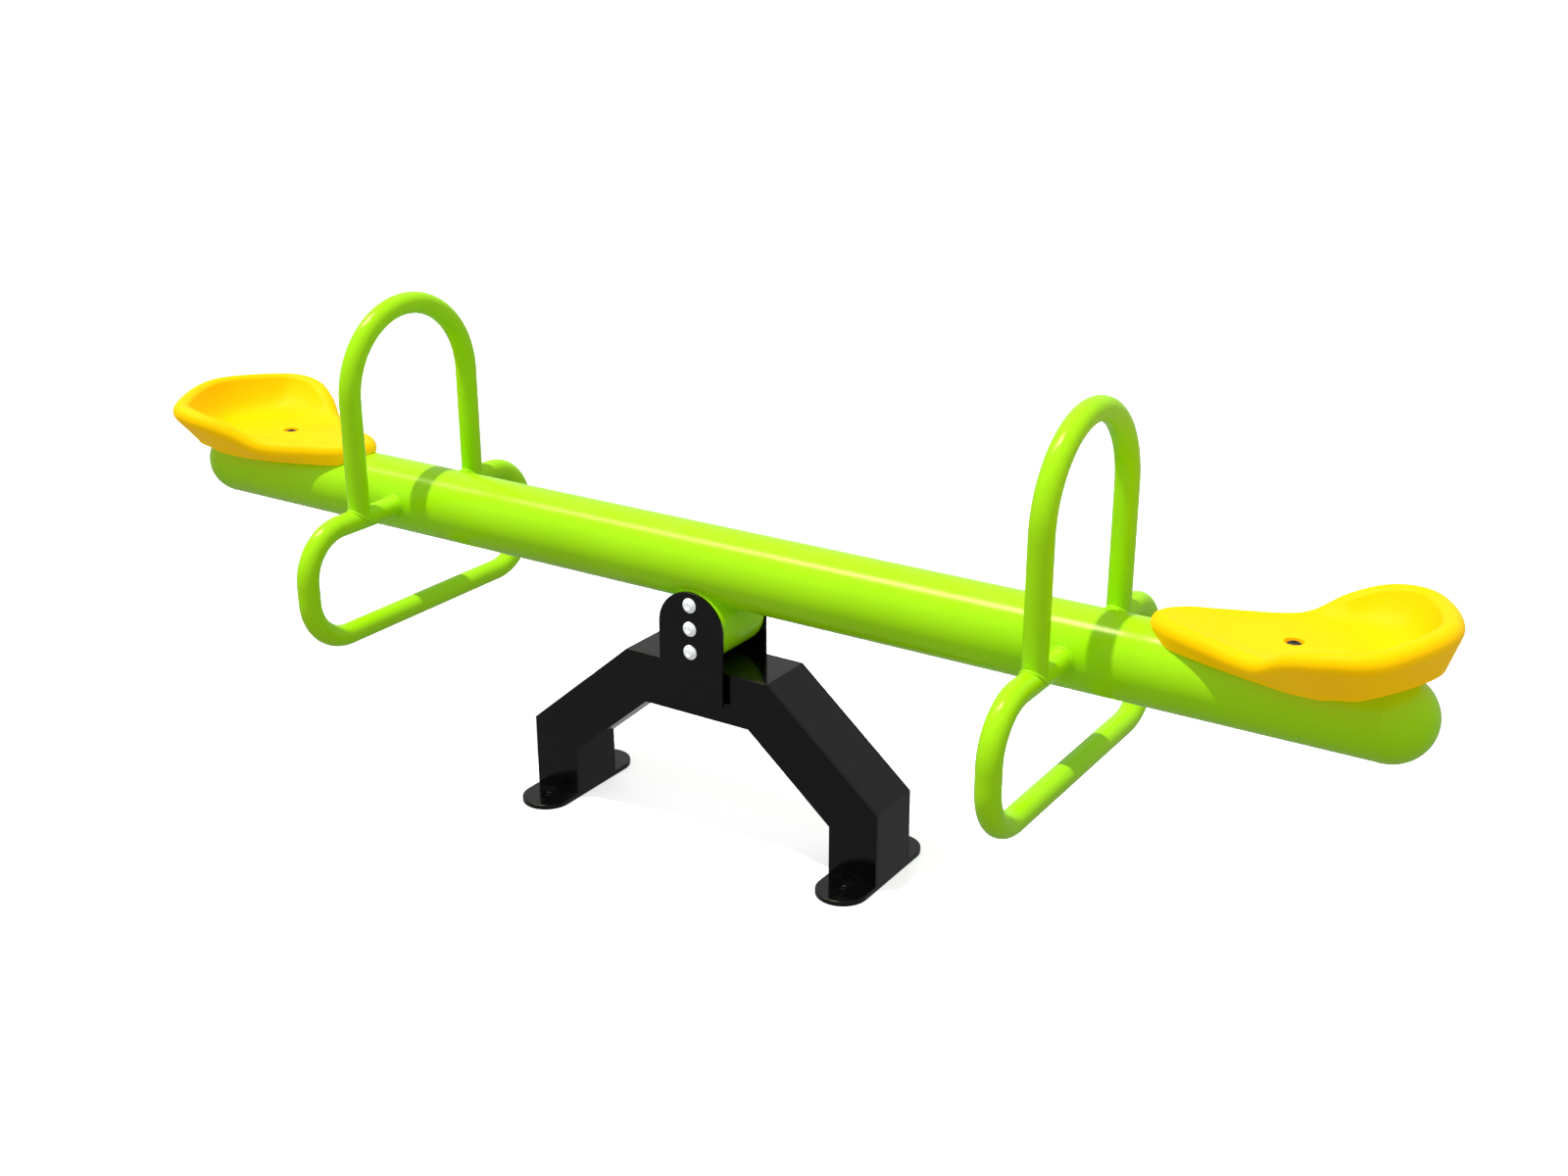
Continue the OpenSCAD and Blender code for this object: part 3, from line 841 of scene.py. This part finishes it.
def saddle_line():
    """Where the cross tube meets the underside of the beam."""
    t = loop_angles(count=128)
    limit = math.acos((beam_z - beam_r - pivot_z) / cross_tube_r)
    a = limit * np.sin(t)
    z = pivot_z + cross_tube_r * np.cos(a)
    y = np.sqrt(np.maximum(0, beam_r**2 - (beam_z - z) ** 2))
    return np.column_stack([cross_tube_r * np.sin(a), np.where(np.cos(t) < 0, y, -y), z])


def dome_line(side):
    """The ground-down seam between the beam's tube and its domed end."""
    a = loop_angles(count=96)
    seam_r = beam_r - seam_depth
    x = np.full(len(a), side * beam_half)
    return np.column_stack([x, seam_r * np.cos(a), beam_z + seam_r * np.sin(a)])


def pad_line(side, edge):
    """One long edge of a seat's pad on the beam."""
    y = edge * SEAT_PAD.high.y
    z = beam_z + math.sqrt(beam_r**2 - y**2)
    ends = (SEAT_PAD.low.x + bead_inset, SEAT_PAD.high.x - bead_inset)
    return np.array([(side * x, y, z) for x in ends])


def packer_line(edge):
    """The packer's two sides and foot, on the side plate behind an ear."""
    y = edge * PACKER.low.y
    x, foot, top = PACKER.high.x, PACKER.low.z, PACKER.high.z - bead_inset
    return np.array([(-x, y, top), (-x, y, foot), (x, y, foot), (x, y, top)])


def lines_object(name, loops, strips):
    """A mesh of edges only: closed loops and open strips of points."""
    points, edges = [], []
    lines = [(loop, True) for loop in loops] + [(strip, False) for strip in strips]
    for line, closed in lines:
        first, last = len(points), len(points) + len(line) - 1
        points += [tuple(p) for p in line]
        edges += [(k, k + 1) for k in range(first, last)]
        if closed:
            edges.append((last, first))
    mesh = bpy.data.meshes.new(name)
    mesh.from_pydata(points, edges, [])
    return add_object(name, mesh)


def add_weld_beads():
    """All the weld beads, as one piece on each body."""
    both_sides = (FRONT, REAR)
    rails = [(x, side) for x in (-handle_x, handle_x) for side in both_sides]
    loops = [stub_line(*rail) for rail in rails] + [post_line(*rail) for rail in rails]
    loops += [saddle_line(), dome_line(LEFT), dome_line(RIGHT)]
    pads = [pad_line(side, edge) for side in (LEFT, RIGHT) for edge in both_sides]
    packers = [packer_line(edge) for edge in both_sides]
    tree = bead_tree()
    for body, slot, closed, open_ended in (
        ("beam", "green_paint", loops, pads),
        ("stand", "black_paint", [], packers),
    ):
        source = lines_object(body + "_weld_lines", closed, open_ended)
        made = tree.run(source, body + "_weld_beads", Finish=FINISHES[slot], **BEAD_SIZES)
        fit(made, body, slot)


# ---- Stage, light and camera ----

WHITE = (1.0, 1.0, 1.0, 1.0)


def add_stage():
    """A plain pale floor that sweeps up into a wall all round, seen by the camera only."""
    floor_r, sweep_r, wall_h = 7.0, 3.0, 9.0
    profile = [(0, 0), (floor_r / 2, 0)]
    profile += arc((floor_r, sweep_r), sweep_r, -90, 0, steps=24)
    profile += [(floor_r + sweep_r, wall_h)]
    angles = loop_angles(count=96)
    points = [(r * math.cos(a), r * math.sin(a), z) for r, z in profile for a in angles]
    count = len(angles)
    faces = []
    for k in range(len(profile) - 1):
        for j in range(count):
            a, b = k * count + j, k * count + (j + 1) % count
            faces.append((a, b, b + count, a + count))
    mesh = mesh_from("floor_sweep", points, faces)
    tidy_mesh(mesh)
    mesh.shade_smooth()
    white = Finish("floor_white").shaded(
        Base_Color=(0.9, 0.9, 0.9, 1.0),
        Roughness=1.0,
        Specular_IOR_Level=0.0,
        Emission_Color=WHITE,
        Emission_Strength=0.6,
    )
    mesh.materials.append(white)
    floor = add_object("floor_sweep", mesh)
    floor.visible_diffuse = False
    floor.visible_glossy = False
    floor.visible_shadow = False


def add_sun(name, strength, to_light, spread_degrees):
    light = bpy.data.lights.new(name, "SUN")
    light.energy = strength
    light.angle = math.radians(spread_degrees)
    lamp = bpy.data.objects.new(name, light)
    lamp.rotation_euler = Vector(to_light).to_track_quat("Z", "Y").to_euler()
    bpy.context.scene.collection.objects.link(lamp)
    return lamp


def add_studio_light():
    """Even white light from all round, weaker from below."""
    zenith, nadir, band = 0.62, 0.32, 0.6
    world = bpy.data.worlds.new("studio")
    world.use_nodes = True
    tree = Tree(world.node_tree)
    way = tree.node("ShaderNodeTexCoord", {}, {}, "Generated")
    height = tree.node("ShaderNodeSeparateXYZ", {}, {0: way}, "Z")
    background = world.node_tree.nodes["Background"].inputs
    tree.feed(background["Color"], WHITE)
    tree.feed(background["Strength"], tree.between(height, -band, band, nadir, zenith))
    bpy.context.scene.world = world


def add_key_light():
    """One small lamp, high at the front left, that stays out of the gloss."""
    strength, to_light, spread = 2.45, (-0.212, -0.205, 1.0), 1.5
    key = add_sun("key_light", strength, to_light, spread)
    key.visible_glossy = False


# Lamps seen in the gloss only, in a row over the left half: lean along the beam, strength
STRIP_LIGHTS = [(-0.74, 0.1), (-0.64, 0.3), (-0.53, 0.7), (-0.41, 1.3), (-0.29, 1.6), (-0.17, 1.5)]


def add_strip_lights():
    """The long soft highlight on top of the round beam."""
    forward_lean, spread, warm = -0.1, 12.0, (1.0, 0.86, 0.5)
    for k, (lean, strength) in enumerate(STRIP_LIGHTS):
        to_light = (lean, forward_lean, math.sqrt(1 - lean**2))
        lamp = add_sun(f"strip_light_{k + 1}", strength, to_light, spread)
        lamp.data.color = warm
        lamp.visible_diffuse = False


def add_camera():
    """A camera high at the front right, aimed down at the stand."""
    downward, turned_left = 20.778, 32.791
    data = bpy.data.cameras.new("camera")
    data.sensor_width = 36
    data.lens = 42.82
    camera = bpy.data.objects.new("camera", data)
    camera.location = (1.8148, -2.5795, 1.6739)
    camera.rotation_euler = (math.radians(90 - downward), 0, math.radians(turned_left))
    bpy.context.scene.collection.objects.link(camera)
    bpy.context.scene.camera = camera
    bpy.context.scene.view_settings.view_transform = "Standard"


finish_cad_nodes()
for seat_side in (LEFT, RIGHT):
    add_seat(seat_side)
for plate_node, plate_edge in PLATE_EDGES.items():
    add_plate(plate_node, plate_edge)
add_cross_tube()
add_bolts()
add_weld_beads()
add_stage()
add_studio_light()
add_key_light()
add_strip_lights()
add_camera()
